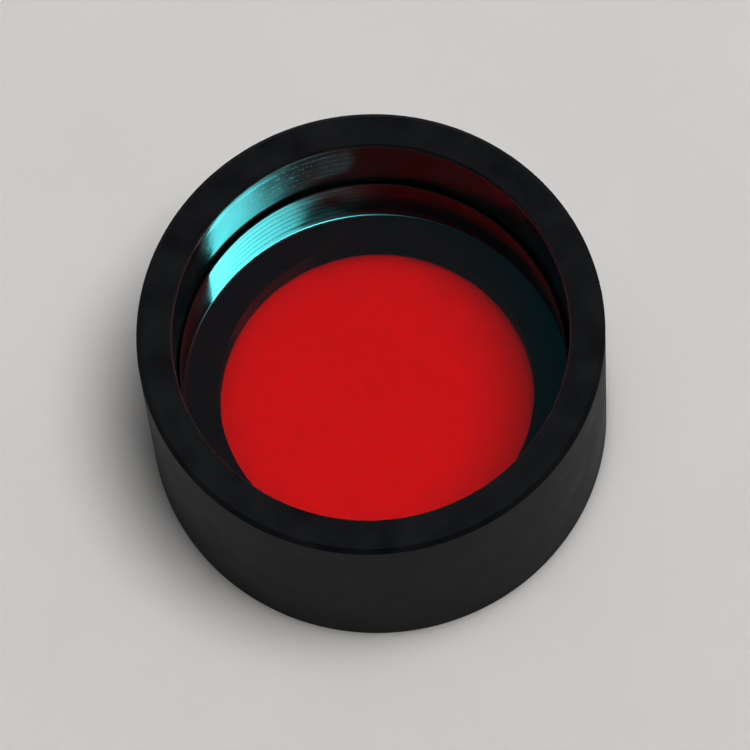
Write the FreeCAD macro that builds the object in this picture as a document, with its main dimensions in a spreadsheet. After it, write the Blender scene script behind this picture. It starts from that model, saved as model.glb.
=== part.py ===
"""Optical filter: a coated glass plate held in a slim turned ring.

The frame has +Z along the optical axis. Z = 0 is the outer face of the narrow ledge, on which the
part stands, and the wide mouth opens upward. All sizes are in millimetres.
"""

import FreeCAD, Part
import os
import Sketcher

OUT_FOLDER = "parts"
SIZES = {
    # The cell: one turned ring, with a wide bore above a narrow ledge
    "outer_dia": 12.5,
    "total_height": 7.0,
    "wall_thickness": 0.95,
    "ledge_reach": 1.0,
    "ledge_thickness": 1.1,
    "outer_chamfer": 0.12,
    "aperture_chamfer": 0.2,
    # The lead-in: a slight steep taper at the mouth, for the plate to drop in
    "lead_in_width": 0.04,
    "lead_in_height": 0.2,
    # The filter plate: a thick glass disc with both rims bevelled, held in the bore by cement
    "plate_thickness": 3.25,
    "plate_clearance": 0.05,
    "plate_bevel": 0.06,
}
OUTER = "sizes.outer_dia / 2"
BORE = f"{OUTER} - sizes.wall_thickness"
APERTURE = f"{BORE} - sizes.ledge_reach"
EDGE_TOLERANCE = 1e-4

doc = FreeCAD.newDocument("optical_filter")
sheet = doc.addObject("Spreadsheet::Sheet", "sizes")
for row, (alias, value) in enumerate(SIZES.items(), start=1):
    sheet.set(f"A{row}", alias)
    sheet.set(f"B{row}", str(value))
    sheet.setAlias(f"B{row}", alias)
doc.recompute()


def measure(expression):
    """The present value of an expression of the named sizes."""
    return float(sheet.evalExpression(expression))


def origin_feature(body, role):
    """The plane or axis of the body's own origin that has this role."""
    for feature in body.Origin.OriginFeatures:
        if feature.Role == role:
            return feature
    raise ValueError(f"{body.Name} has no {role}")


def half_section(body, corners):
    """A closed sketch in the body's XZ plane, from corners given as (radius, height) expressions."""
    sketch = body.newObject("Sketcher::SketchObject", f"{body.Name}_section")
    sketch.AttachmentSupport = [(origin_feature(body, "XZ_Plane"), "")]
    sketch.MapMode = "FlatFace"
    points = [FreeCAD.Vector(measure(radius), measure(height), 0) for radius, height in corners]
    following = points[1:] + points[:1]
    for start, end in zip(points, following):
        sketch.addGeometry(Part.LineSegment(start, end), False)
    count = len(corners)
    for line in range(count):
        sketch.addConstraint(Sketcher.Constraint("Coincident", line, 2, (line + 1) % count, 1))
    for line, (radius, height) in enumerate(corners):
        hold_corner(sketch, line, "DistanceX", "radius", radius, -2)
        hold_corner(sketch, line, "DistanceY", "height", height, -1)
    return sketch


def hold_corner(sketch, line, kind, word, expression, axis):
    """Fixes one coordinate of a line's first point, on an axis or at a distance bound to the sheet."""
    if expression == "0":
        sketch.addConstraint(Sketcher.Constraint("PointOnObject", line, 1, axis))
        return
    distance = Sketcher.Constraint(kind, -1, 1, line, 1, measure(expression))
    index = sketch.addConstraint(distance)
    sketch.renameConstraint(index, f"{word}_{line}")
    sketch.setExpression(f"Constraints.{word}_{line}", expression)


def turned_body(name, corners):
    """A body made by turning a half section once round the optical axis."""
    body = doc.addObject("PartDesign::Body", name)
    body.Label = name
    sketch = half_section(body, corners)
    turned = body.newObject("PartDesign::Revolution", f"{name}_turned")
    turned.Profile = sketch
    turned.ReferenceAxis = (sketch, ["V_Axis"])
    turned.Angle = 360
    doc.recompute()
    return body


def chamfer_edges(body, name, size_name, spots):
    """Chamfers the circular edges that lie at the given (radius, height) expressions."""
    base = body.Tip
    wanted = [(measure(radius), measure(height)) for radius, height in spots]
    edge_names = []
    for number, edge in enumerate(base.Shape.Edges, start=1):
        curve = edge.Curve
        if not isinstance(curve, Part.Circle):
            continue
        for radius, height in wanted:
            same_radius = abs(curve.Radius - radius) < EDGE_TOLERANCE
            same_height = abs(curve.Center.z - height) < EDGE_TOLERANCE
            if same_radius and same_height:
                edge_names.append(f"Edge{number}")
    if len(edge_names) != len(spots):
        raise ValueError(f"{name}: {len(edge_names)} of {len(spots)} edges found")
    chamfer = body.newObject("PartDesign::Chamfer", name)
    chamfer.Base = (base, edge_names)
    chamfer.setExpression("Size", f"sizes.{size_name}")
    doc.recompute()


def make_cell():
    """The turned ring: outer wall, deep bore for the plate and a thin ledge with the aperture in it."""
    top = "sizes.total_height"
    ledge = "sizes.ledge_thickness"
    corners = [
        (APERTURE, "0"),
        (OUTER, "0"),
        (OUTER, top),
        (f"{BORE} + sizes.lead_in_width", top),
        (BORE, f"{top} - sizes.lead_in_height"),
        (BORE, ledge),
        (APERTURE, ledge),
    ]
    cell = turned_body("cell", corners)
    chamfer_edges(cell, "outer_breaks", "outer_chamfer", [(OUTER, "0"), (OUTER, top)])
    chamfer_edges(cell, "aperture_break", "aperture_chamfer", [(APERTURE, "0")])
    return cell


def make_filter_plate():
    """The glass disc, which lies on the ledge and clears the bore all round."""
    radius = f"{BORE} - sizes.plate_clearance"
    thick = "sizes.plate_thickness"
    corners = [("0", "0"), (radius, "0"), (radius, thick), ("0", thick)]
    plate = turned_body("filter_plate", corners)
    chamfer_edges(plate, "plate_bevels", "plate_bevel", [(radius, "0"), (radius, thick)])
    plate.setExpression("Placement.Base.z", "sizes.ledge_thickness")
    return plate


bodies = [make_cell(), make_filter_plate()]
doc.recompute()

for item in doc.Objects:
    if "Invalid" in item.State or "Error" in item.State:
        raise RuntimeError(f"{item.Name} failed: {item.State}")
for body in bodies:
    if body.Shape.isNull() or not body.Shape.isValid() or len(body.Shape.Solids) != 1:
        raise RuntimeError(f"{body.Label} has no sound solid")

os.makedirs(OUT_FOLDER, exist_ok=True)
for body in bodies:
    body.Shape.exportStep(os.path.join(OUT_FOLDER, f"{body.Label}.step"))
    box = body.Shape.BoundBox
    reach = f"Z {box.ZMin:.3f} to {box.ZMax:.3f}, X to {box.XMax:.3f}"
    print(f"{body.Label}: {body.Shape.Volume:.2f} mm3, {reach}")
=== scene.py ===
import math
import bpy
import bmesh
from mathutils import Matrix, Vector


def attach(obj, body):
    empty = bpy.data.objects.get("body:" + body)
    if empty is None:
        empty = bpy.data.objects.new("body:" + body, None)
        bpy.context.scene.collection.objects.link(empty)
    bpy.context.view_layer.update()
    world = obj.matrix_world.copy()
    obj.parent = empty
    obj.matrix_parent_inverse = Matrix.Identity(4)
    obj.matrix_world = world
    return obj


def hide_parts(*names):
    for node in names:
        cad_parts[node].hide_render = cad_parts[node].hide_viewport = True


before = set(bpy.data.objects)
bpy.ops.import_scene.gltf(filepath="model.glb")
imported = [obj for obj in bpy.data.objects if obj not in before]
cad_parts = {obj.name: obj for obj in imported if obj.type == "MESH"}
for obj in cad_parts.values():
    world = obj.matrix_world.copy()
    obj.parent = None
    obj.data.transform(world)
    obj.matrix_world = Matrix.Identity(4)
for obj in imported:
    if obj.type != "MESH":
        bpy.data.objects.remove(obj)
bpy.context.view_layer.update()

# The cell: one turned ring of black anodised aluminium. A deep bore runs down from the mouth to a thin
# ledge with the clear aperture. The tool's feed left fine saw-tooth marks round the upper bore.
MM = 0.001
CELL_RADIUS, CELL_HEIGHT = 6.25 * MM, 7.0 * MM
BORE_RADIUS, APERTURE_RADIUS, LEDGE_TOP = 5.3 * MM, 4.3 * MM, 1.1 * MM
OUTER_CHAMFER, APERTURE_CHAMFER = 0.12 * MM, 0.2 * MM
LEAD_IN_WIDTH, LEAD_IN_HEIGHT, LEAD_IN_STEPS = 0.04 * MM, 0.2 * MM, 5
MARK_PITCH, MARK_DEPTH, MARK_SHORT_SIDE = 0.32 * MM, 0.004 * MM, 0.05
MARKS_FROM, MARK_COUNT = 4.55 * MM, 7
CELL_SEGMENTS, SHARP_DEGREES = 256, 8
SAME_PLACE, MERGED, SLIVER = 0.001 * MM, 0.0002 * MM, 0.00001 * MM
DYE_DARK, DYE_PALE = (0.002, 0.0023, 0.003, 1), (0.0068, 0.0073, 0.0084, 1)
LEDGE_DARK, LEDGE_PALE = (0.004, 0.004, 0.0045, 1), (0.009, 0.009, 0.01, 1)
CLOUD_SCALE, GRAIN_SCALE, GRAIN_DEPTH = 900.0, 9000.0, 0.004 * MM


def lead_in(share):
    """A point of the lead-in, which steepens towards its foot; share runs from 0 there to 1 on top."""
    drop = LEAD_IN_HEIGHT * (1 - share)
    return (BORE_RADIUS + LEAD_IN_WIDTH * share ** 2, CELL_HEIGHT - drop)


def rows(start, end, count):
    """Points between two corners of the half section, without the corners themselves."""
    return [
        (start[0] + (end[0] - start[0]) * i / count, start[1] + (end[1] - start[1]) * i / count)
        for i in range(1, count)
    ]


def turning_tree():
    """Geometry nodes that turn a half section once round the optical axis, with feed marks in it."""
    tree = bpy.data.node_groups.new("turning", "GeometryNodeTree")
    face = tree.interface
    face.new_socket("Geometry", in_out="OUTPUT", socket_type="NodeSocketGeometry")
    face.new_socket("Half section", in_out="INPUT", socket_type="NodeSocketGeometry")
    for name, kind in (
        ("Segments", "Int"), ("Section points", "Int"), ("Mark pitch", "Float"),
        ("Mark depth", "Float"), ("Mark short side", "Float"), ("Marks from", "Float"),
        ("Marks to", "Float"), ("Marked radius", "Float"), ("Finish", "Material"),
    ):
        face.new_socket(name, in_out="INPUT", socket_type=f"NodeSocket{kind}")
    given = tree.nodes.new("NodeGroupInput")

    def feed(node, index, value):
        if isinstance(value, bpy.types.NodeSocket):
            tree.links.new(value, node.inputs[index])
        else:
            node.inputs[index].default_value = value

    def math_node(operation, *values):
        node = tree.nodes.new("ShaderNodeMath")
        node.operation = operation
        for index, value in enumerate(values):
            feed(node, index, value)
        return node.outputs[0]

    # A grid with one column for each step of the turn and one row for each point of the section is
    # rolled up. Indexes are floats here, so a part of one is added before they are rounded down.
    wanted = given.outputs
    closed = math_node("ADD", wanted["Section points"], 1.0)
    grid = tree.nodes.new("GeometryNodeMeshGrid")
    feed(grid, 2, math_node("ADD", wanted["Segments"], 1.0))
    feed(grid, 3, closed)
    index = tree.nodes.new("GeometryNodeInputIndex").outputs[0]
    column = math_node("FLOOR", math_node("DIVIDE", math_node("ADD", index, 0.5), closed))
    row = math_node("SUBTRACT", index, math_node("MULTIPLY", column, closed))
    point = math_node("MODULO", math_node("ADD", row, 0.25), wanted["Section points"])
    sample = tree.nodes.new("GeometryNodeSampleIndex")
    sample.data_type, sample.domain = "FLOAT_VECTOR", "POINT"
    tree.links.new(wanted["Half section"], sample.inputs[0])
    tree.links.new(tree.nodes.new("GeometryNodeInputPosition").outputs[0], sample.inputs["Value"])
    tree.links.new(math_node("FLOOR", point), sample.inputs["Index"])
    split = tree.nodes.new("ShaderNodeSeparateXYZ")
    tree.links.new(sample.outputs[0], split.inputs[0])
    radius, height = split.outputs[0], split.outputs[2]
    # Each mark is a saw tooth: it rises over its long side and falls back over its short one
    climb = math_node("DIVIDE", math_node("SUBTRACT", height, wanted["Marks from"]), wanted["Mark pitch"])
    phase = math_node("FRACT", math_node("ADD", climb, 1e-4))
    falling = math_node("SUBTRACT", 1.0, math_node("DIVIDE", phase, wanted["Mark short side"]))
    rest = math_node("SUBTRACT", 1.0, wanted["Mark short side"])
    rising = math_node("DIVIDE", math_node("SUBTRACT", phase, wanted["Mark short side"]), rest)
    tooth = math_node("MAXIMUM", falling, rising)
    above = math_node("GREATER_THAN", height, math_node("ADD", wanted["Marks from"], SAME_PLACE))
    below = math_node("LESS_THAN", height, math_node("SUBTRACT", wanted["Marks to"], SAME_PLACE))
    on_wall = math_node("COMPARE", radius, wanted["Marked radius"], SAME_PLACE)
    share = math_node("MULTIPLY", math_node("MULTIPLY", above, below), on_wall)
    cut = math_node("MULTIPLY", math_node("MULTIPLY", tooth, share), wanted["Mark depth"])
    reach = math_node("ADD", radius, cut)
    turn = math_node("MULTIPLY", math_node("DIVIDE", column, wanted["Segments"]), 2 * math.pi)
    place = tree.nodes.new("ShaderNodeCombineXYZ")
    feed(place, 0, math_node("MULTIPLY", reach, math_node("COSINE", turn)))
    feed(place, 1, math_node("MULTIPLY", reach, math_node("SINE", turn)))
    feed(place, 2, height)
    move = tree.nodes.new("GeometryNodeSetPosition")
    tree.links.new(grid.outputs["Mesh"], move.inputs[0])
    tree.links.new(place.outputs[0], move.inputs["Position"])
    merge = tree.nodes.new("GeometryNodeMergeByDistance")
    tree.links.new(move.outputs[0], merge.inputs[0])
    merge.inputs["Distance"].default_value = MERGED
    real = tree.nodes.new("GeometryNodeRealizeInstances")
    tree.links.new(merge.outputs[0], real.inputs[0])
    finish = tree.nodes.new("GeometryNodeSetMaterial")
    tree.links.new(real.outputs[0], finish.inputs[0])
    tree.links.new(wanted["Finish"], finish.inputs["Material"])
    out = tree.nodes.new("NodeGroupOutput")
    tree.links.new(finish.outputs[0], out.inputs[0])
    return tree


TURNING = turning_tree()


def turned(name, section, segments, finish, marks=None):
    """A closed piece turned from its half section, as a plain mesh with its faces outward."""
    line = bpy.data.meshes.new(f"{name}_section")
    line.from_pydata([(r, 0, z) for r, z in section], [], [])
    maker = bpy.data.objects.new(f"{name}_maker", line)
    bpy.context.scene.collection.objects.link(maker)
    modifier = maker.modifiers.new("turning", "NODES")
    modifier.node_group = TURNING
    values = {"Segments": segments, "Section points": len(section), "Finish": finish}
    values.update(marks or {"Mark pitch": 1.0, "Mark short side": 0.5})
    for item in TURNING.interface.items_tree:
        if item.item_type == "SOCKET" and item.in_out == "INPUT" and item.name in values:
            modifier[item.identifier] = values[item.name]
    bpy.context.view_layer.update()
    graph = bpy.context.evaluated_depsgraph_get()
    mesh = bpy.data.meshes.new_from_object(maker.evaluated_get(graph))
    bpy.data.objects.remove(maker)
    work = bmesh.new()
    work.from_mesh(mesh)
    bmesh.ops.dissolve_degenerate(work, dist=SLIVER, edges=work.edges)
    bmesh.ops.recalc_face_normals(work, faces=work.faces)
    work.to_mesh(mesh)
    work.free()
    mesh.name = name
    mesh.materials.clear()
    mesh.materials.append(finish)
    mesh.polygons.foreach_set("material_index", [0] * len(mesh.polygons))
    # The two sides of a feed mark meet at some 15 degrees, which has to stay a crisp edge
    mesh.shade_smooth()
    mesh.set_sharp_from_angle(angle=math.radians(SHARP_DEGREES))
    piece = bpy.data.objects.new(name, mesh)
    bpy.context.scene.collection.objects.link(piece)
    return piece


def node_adder(tree):
    """Empties a shader tree and gives the way to add nodes to it, linked and with their sockets set."""
    tree.nodes.clear()

    def add(kind, inputs=None, **settings):
        node = tree.nodes.new(kind)
        for key, value in settings.items():
            setattr(node, key, value)
        for key, value in (inputs or {}).items():
            if isinstance(value, bpy.types.NodeSocket):
                tree.links.new(value, node.inputs[key])
            else:
                node.inputs[key].default_value = value
        return node

    return add


def shader_maker(name):
    """A new material, and the way to add nodes to it."""
    material = bpy.data.materials.new(name)
    material.use_nodes = True
    return material, node_adder(material.node_tree)


def anodised(name, dark, pale, roughness, shine, relief=0.25):
    """Black dyed anodising: cloudy dye, etched grain of some relief, and gloss that differs by spot."""
    material, add = shader_maker(name)
    place = add("ShaderNodeTexCoord").outputs["Object"]
    cloud = add("ShaderNodeTexNoise", {"Vector": place, "Scale": CLOUD_SCALE, "Detail": 6.0})
    grain = add("ShaderNodeTexNoise", {"Vector": place, "Scale": GRAIN_SCALE, "Detail": 3.0})
    blend = add("ShaderNodeMapRange", {"Value": cloud.outputs["Fac"], "From Min": 0.32, "From Max": 0.68})
    colour = add("ShaderNodeMix", {"Factor": blend.outputs[0], "A": dark, "B": pale}, data_type="RGBA")
    gloss = add("ShaderNodeMapRange", {
        "Value": cloud.outputs["Fac"], "From Min": 0.3, "From Max": 0.7,
        "To Min": roughness - 0.04, "To Max": roughness + 0.05})
    bump = add("ShaderNodeBump", {
        "Height": grain.outputs["Fac"], "Strength": relief, "Distance": GRAIN_DEPTH})
    surface = add("ShaderNodeBsdfPrincipled", {
        "Base Color": colour.outputs["Result"], "Roughness": gloss.outputs[0],
        "Normal": bump.outputs[0], "Specular IOR Level": shine})
    add("ShaderNodeOutputMaterial", {"Surface": surface.outputs[0]})
    return material


cell_section = [
    (APERTURE_RADIUS + APERTURE_CHAMFER, 0.0),
    *rows((APERTURE_RADIUS + APERTURE_CHAMFER, 0.0), (CELL_RADIUS - OUTER_CHAMFER, 0.0), 4),
    (CELL_RADIUS - OUTER_CHAMFER, 0.0),
    (CELL_RADIUS, OUTER_CHAMFER),
    *rows((CELL_RADIUS, OUTER_CHAMFER), (CELL_RADIUS, CELL_HEIGHT - OUTER_CHAMFER), 8),
    (CELL_RADIUS, CELL_HEIGHT - OUTER_CHAMFER),
    (CELL_RADIUS - OUTER_CHAMFER, CELL_HEIGHT),
    *[lead_in(step / LEAD_IN_STEPS) for step in range(LEAD_IN_STEPS, -1, -1)],
]
for mark in reversed(range(MARK_COUNT)):
    foot = MARKS_FROM + mark * MARK_PITCH
    cell_section += [(BORE_RADIUS, foot + MARK_SHORT_SIDE * MARK_PITCH), (BORE_RADIUS, foot)]
cell_section += [
    (BORE_RADIUS, LEDGE_TOP),
    *rows((BORE_RADIUS, LEDGE_TOP), (APERTURE_RADIUS, LEDGE_TOP), 3),
    (APERTURE_RADIUS, LEDGE_TOP),
    (APERTURE_RADIUS, APERTURE_CHAMFER),
]
satin_black = anodised("satin_black", DYE_DARK, DYE_PALE, roughness=0.5, shine=0.031)
cell = turned("cell_turned", cell_section, CELL_SEGMENTS, satin_black, {
    "Mark pitch": MARK_PITCH, "Mark depth": MARK_DEPTH, "Mark short side": MARK_SHORT_SIDE,
    "Marks from": MARKS_FROM, "Marks to": MARKS_FROM + MARK_COUNT * MARK_PITCH,
    "Marked radius": BORE_RADIUS})
# The bore is finely turned and glossier; the ledge and the aperture are matte against stray light,
# and the lead-in is a little rough from handling
for finish in (
    anodised("bore_black", DYE_DARK, DYE_PALE, roughness=0.11, shine=0.02, relief=0.06),
    anodised("ledge_black", LEDGE_DARK, LEDGE_PALE, roughness=0.6, shine=0.02),
    anodised("lead_in_black", DYE_DARK, DYE_PALE, roughness=0.34, shine=0.04),
):
    cell.data.materials.append(finish)
BORE_FINISH, LEDGE_FINISH, LEAD_IN_FINISH = 1, 2, 3
for polygon in cell.data.polygons:
    middle = polygon.center
    outwardness = polygon.normal.xy.dot(middle.xy) / middle.xy.length
    if outwardness < -0.5 and middle.z > CELL_HEIGHT - LEAD_IN_HEIGHT:
        polygon.material_index = LEAD_IN_FINISH
    elif outwardness < -0.5 and middle.z > LEDGE_TOP:
        polygon.material_index = BORE_FINISH
    elif outwardness < 0.5 and 0 < middle.z < LEDGE_TOP + SAME_PLACE:
        polygon.material_index = LEDGE_FINISH
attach(cell, "root")
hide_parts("cell")

# The filter plate: a thick round glass disc that lies on the ledge. Its upper face has a mirror-like
# coating, cyan by reflection and red in transmission. The rim and bevels are ground, and dull.
PLATE_RADIUS, PLATE_THICKNESS, PLATE_BEVEL = 5.25 * MM, 3.25 * MM, 0.06 * MM
PLATE_TOP = LEDGE_TOP + PLATE_THICKNESS
GLASS_INDEX = 1.5
PASSED_ABOVE, PASSED_BELOW = (1.0, 0.058, 0.045, 1), (1.0, 0.085, 0.068, 1)
MIRRORED_ABOVE, MIRRORED_BELOW = (0.11, 0.82, 0.86, 1), (0.02, 0.05, 0.22, 1)
GROUND_DARK, GROUND_PALE = (0.0108, 0.0072, 0.0072, 1), (0.018, 0.012, 0.012, 1)
HAZE_SCALE, HAZE_ROUGHNESS, GROUND_SCALE, GROUND_DEPTH = 1500.0, 0.01, 6000.0, 0.01 * MM
DUST_SCALE, DUST_RARITY, DUST_SIZE, DUST_COLOUR = 2300.0, 0.985, 0.05, (0.35, 0.25, 0.25, 1)


def coated(name, passed, mirrored):
    """A polished, coated face: it mirrors one colour, passes the other and carries some fine dust."""
    material, add = shader_maker(name)
    place = add("ShaderNodeTexCoord").outputs["Object"]
    haze = add("ShaderNodeTexNoise", {"Vector": place, "Scale": HAZE_SCALE, "Detail": 5.0})
    gloss = add("ShaderNodeMapRange", {
        "Value": haze.outputs["Fac"], "From Min": 0.35, "From Max": 0.75,
        "To Min": 0.0, "To Max": HAZE_ROUGHNESS})
    specks = add("ShaderNodeTexVoronoi", {"Vector": place, "Scale": DUST_SCALE})
    pick = add("ShaderNodeSeparateColor", {"Color": specks.outputs["Color"]})
    rare = add("ShaderNodeMath", {0: pick.outputs[0], 1: DUST_RARITY}, operation="GREATER_THAN")
    small = add("ShaderNodeMath", {0: specks.outputs["Distance"], 1: DUST_SIZE}, operation="LESS_THAN")
    dust_share = add("ShaderNodeMath", {0: rare.outputs[0], 1: small.outputs[0]}, operation="MULTIPLY")
    bent = add("ShaderNodeBsdfRefraction", {"Color": passed, "Roughness": 0.0, "IOR": GLASS_INDEX})
    shown = add("ShaderNodeBsdfGlossy", {"Color": mirrored, "Roughness": gloss.outputs[0]})
    both = add("ShaderNodeAddShader", {0: bent.outputs[0], 1: shown.outputs[0]})
    dust = add("ShaderNodeBsdfDiffuse", {"Color": DUST_COLOUR})
    dusty = add("ShaderNodeMixShader", {0: dust_share.outputs[0], 1: both.outputs[0], 2: dust.outputs[0]})
    # The lamp shines through: its light is let past unbent, in the colour that the coating passes
    clear = add("ShaderNodeBsdfTransparent", {"Color": passed})
    path = add("ShaderNodeLightPath")
    lit = add("ShaderNodeMixShader", {
        0: path.outputs["Is Shadow Ray"], 1: dusty.outputs[0], 2: clear.outputs[0]})
    add("ShaderNodeOutputMaterial", {"Surface": lit.outputs[0]})
    return material


def ground_glass(name):
    """The dull ground rim, coloured nearly black all over, with a fine uneven grain."""
    material, add = shader_maker(name)
    place = add("ShaderNodeTexCoord").outputs["Object"]
    grain = add("ShaderNodeTexNoise", {"Vector": place, "Scale": GROUND_SCALE, "Detail": 4.0})
    colour = add("ShaderNodeMix", {
        "Factor": grain.outputs["Fac"], "A": GROUND_DARK, "B": GROUND_PALE}, data_type="RGBA")
    bump = add("ShaderNodeBump", {
        "Height": grain.outputs["Fac"], "Strength": 0.4, "Distance": GROUND_DEPTH})
    surface = add("ShaderNodeBsdfPrincipled", {
        "Base Color": colour.outputs["Result"], "Roughness": 0.55, "Normal": bump.outputs[0]})
    add("ShaderNodeOutputMaterial", {"Surface": surface.outputs[0]})
    return material


plate_section = [
    (0.0, LEDGE_TOP),
    *rows((0.0, LEDGE_TOP), (PLATE_RADIUS - PLATE_BEVEL, LEDGE_TOP), 8),
    (PLATE_RADIUS - PLATE_BEVEL, LEDGE_TOP),
    (PLATE_RADIUS, LEDGE_TOP + PLATE_BEVEL),
    *rows((PLATE_RADIUS, LEDGE_TOP + PLATE_BEVEL), (PLATE_RADIUS, PLATE_TOP - PLATE_BEVEL), 4),
    (PLATE_RADIUS, PLATE_TOP - PLATE_BEVEL),
    (PLATE_RADIUS - PLATE_BEVEL, PLATE_TOP),
    *rows((PLATE_RADIUS - PLATE_BEVEL, PLATE_TOP), (0.0, PLATE_TOP), 8),
    (0.0, PLATE_TOP),
]
ground_rim = ground_glass("ground_rim")
plate = turned("plate_glass", plate_section, CELL_SEGMENTS, ground_rim)
plate.data.materials.append(coated("coated_upper_face", PASSED_ABOVE, MIRRORED_ABOVE))
plate.data.materials.append(coated("coated_lower_face", PASSED_BELOW, MIRRORED_BELOW))
UPPER_FACE, LOWER_FACE = 1, 2
for polygon in plate.data.polygons:
    if polygon.normal.z > 0.99:
        polygon.material_index = UPPER_FACE
    elif polygon.normal.z < -0.99:
        polygon.material_index = LOWER_FACE
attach(plate, "root")
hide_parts("filter_plate")

# The stage: a sheet of pale grey paper, into which light spreads a little, one round lamp overhead and
# to the right, and a room that is pale at the horizon but dark above and on the viewer's side.
FLOOR_HALF, FLOOR_DROP = 0.6, 0.01 * MM
PAPER_DARK, PAPER_PALE = (0.565, 0.555, 0.54, 1), (0.625, 0.612, 0.595, 1)
PAPER_SPREAD, MOTTLE_SCALE, FIBRE_SCALE, FIBRE_DEPTH = 2.0 * MM, 160.0, 3000.0, 0.02 * MM
LAMP_WAY, LAMP_DISTANCE, LAMP_SIZE, LAMP_POWER = (0.188, -0.061, 0.98), 0.6, 0.25, 3.3
ROOM_PALE, ROOM_NEAR = (0.62, 0.62, 0.63, 1), (0.05, 0.05, 0.052, 1)
ROOM_DARK, BACKDROP = (0.008, 0.0087, 0.0098, 1), (0.6, 0.595, 0.585, 1)
PALE_UP_TO, DARK_FROM, NEAR_UP_TO, FAR_FROM = 0.3, 0.93, -0.6, 0.2
paper, add = shader_maker("paper")
place = add("ShaderNodeTexCoord").outputs["Object"]
mottle = add("ShaderNodeTexNoise", {"Vector": place, "Scale": MOTTLE_SCALE, "Detail": 6.0})
fibre = add("ShaderNodeTexNoise", {"Vector": place, "Scale": FIBRE_SCALE, "Detail": 3.0})
mix = add("ShaderNodeMix", {
    "Factor": mottle.outputs["Fac"], "A": PAPER_DARK, "B": PAPER_PALE}, data_type="RGBA")
bump = add("ShaderNodeBump", {
    "Height": fibre.outputs["Fac"], "Strength": 0.15, "Distance": FIBRE_DEPTH})
surface = add("ShaderNodeBsdfPrincipled", {
    "Base Color": mix.outputs["Result"], "Roughness": 0.8, "Normal": bump.outputs[0],
    "Specular IOR Level": 0.2, "Subsurface Weight": 1.0, "Subsurface Radius": (1.0, 1.0, 1.0),
    "Subsurface Scale": PAPER_SPREAD}, subsurface_method="BURLEY")
add("ShaderNodeOutputMaterial", {"Surface": surface.outputs[0]})
corners = [(-1, -1), (1, -1), (1, 1), (-1, 1)]
sheet = bpy.data.meshes.new("paper_sheet")
sheet.from_pydata([(x * FLOOR_HALF, y * FLOOR_HALF, -FLOOR_DROP) for x, y in corners], [], [(0, 1, 2, 3)])
sheet.materials.append(paper)
floor = bpy.data.objects.new("paper_sheet", sheet)
bpy.context.scene.collection.objects.link(floor)

lamp_data = bpy.data.lights.new("lamp", "AREA")
lamp_data.shape, lamp_data.size, lamp_data.energy = "DISK", LAMP_SIZE, LAMP_POWER
lamp = bpy.data.objects.new("lamp", lamp_data)
bpy.context.scene.collection.objects.link(lamp)
lamp.location = Vector(LAMP_WAY).normalized() * LAMP_DISTANCE
lamp.rotation_euler = Vector(LAMP_WAY).to_track_quat("Z", "Y").to_euler()
# The glass already lets shadow rays through, so a bent ray must not count the lamp again
lamp.visible_transmission = False

world = bpy.data.worlds.new("room")
bpy.context.scene.world = world
world.use_nodes = True
add = node_adder(world.node_tree)
way = add("ShaderNodeSeparateXYZ", {0: add("ShaderNodeTexCoord").outputs["Generated"]})
fade = add("ShaderNodeMapRange", {
    "Value": way.outputs[2], "From Min": PALE_UP_TO, "From Max": DARK_FROM},
    interpolation_type="SMOOTHSTEP")
beyond = add("ShaderNodeMapRange", {
    "Value": way.outputs[1], "From Min": NEAR_UP_TO, "From Max": FAR_FROM},
    interpolation_type="SMOOTHSTEP")
around = add("ShaderNodeMix", {
    "Factor": beyond.outputs[0], "A": ROOM_NEAR, "B": ROOM_PALE}, data_type="RGBA")
room = add("ShaderNodeMix", {
    "Factor": fade.outputs[0], "A": around.outputs["Result"], "B": ROOM_DARK}, data_type="RGBA")
# The camera sees a plain backdrop; the room lights the part and shows only in its reflections
path = add("ShaderNodeLightPath")
seen = add("ShaderNodeMix", {
    "Factor": path.outputs["Is Camera Ray"], "A": room.outputs["Result"], "B": BACKDROP},
    data_type="RGBA")
light = add("ShaderNodeBackground", {"Color": seen.outputs["Result"]})
add("ShaderNodeOutputWorld", {"Surface": light.outputs[0]})

# The camera: it looks down at the part from 15 diameters away and 70 degrees up, a little rolled, and
# its long lens frames the part as the photograph does.
CAMERA_DISTANCE, CAMERA_RISE, CAMERA_ROLL, CAMERA_LENS = 188.4 * MM, 70.05, 5.83, 334.0
target = Vector((0, 0, CELL_HEIGHT / 2))
rise = math.radians(CAMERA_RISE)
back = Vector((0, -math.cos(rise), math.sin(rise)))
camera_data = bpy.data.cameras.new("camera")
camera_data.lens, camera_data.clip_start, camera_data.clip_end = CAMERA_LENS, 0.005, 10.0
camera = bpy.data.objects.new("camera", camera_data)
bpy.context.scene.collection.objects.link(camera)
roll = Matrix.Rotation(math.radians(-CAMERA_ROLL), 3, "Z")
facing = (-back).to_track_quat("-Z", "Y").to_matrix() @ roll
camera.matrix_world = Matrix.Translation(target + back * CAMERA_DISTANCE) @ facing.to_4x4()
bpy.context.scene.camera = camera
bpy.context.scene.view_settings.view_transform = "Standard"
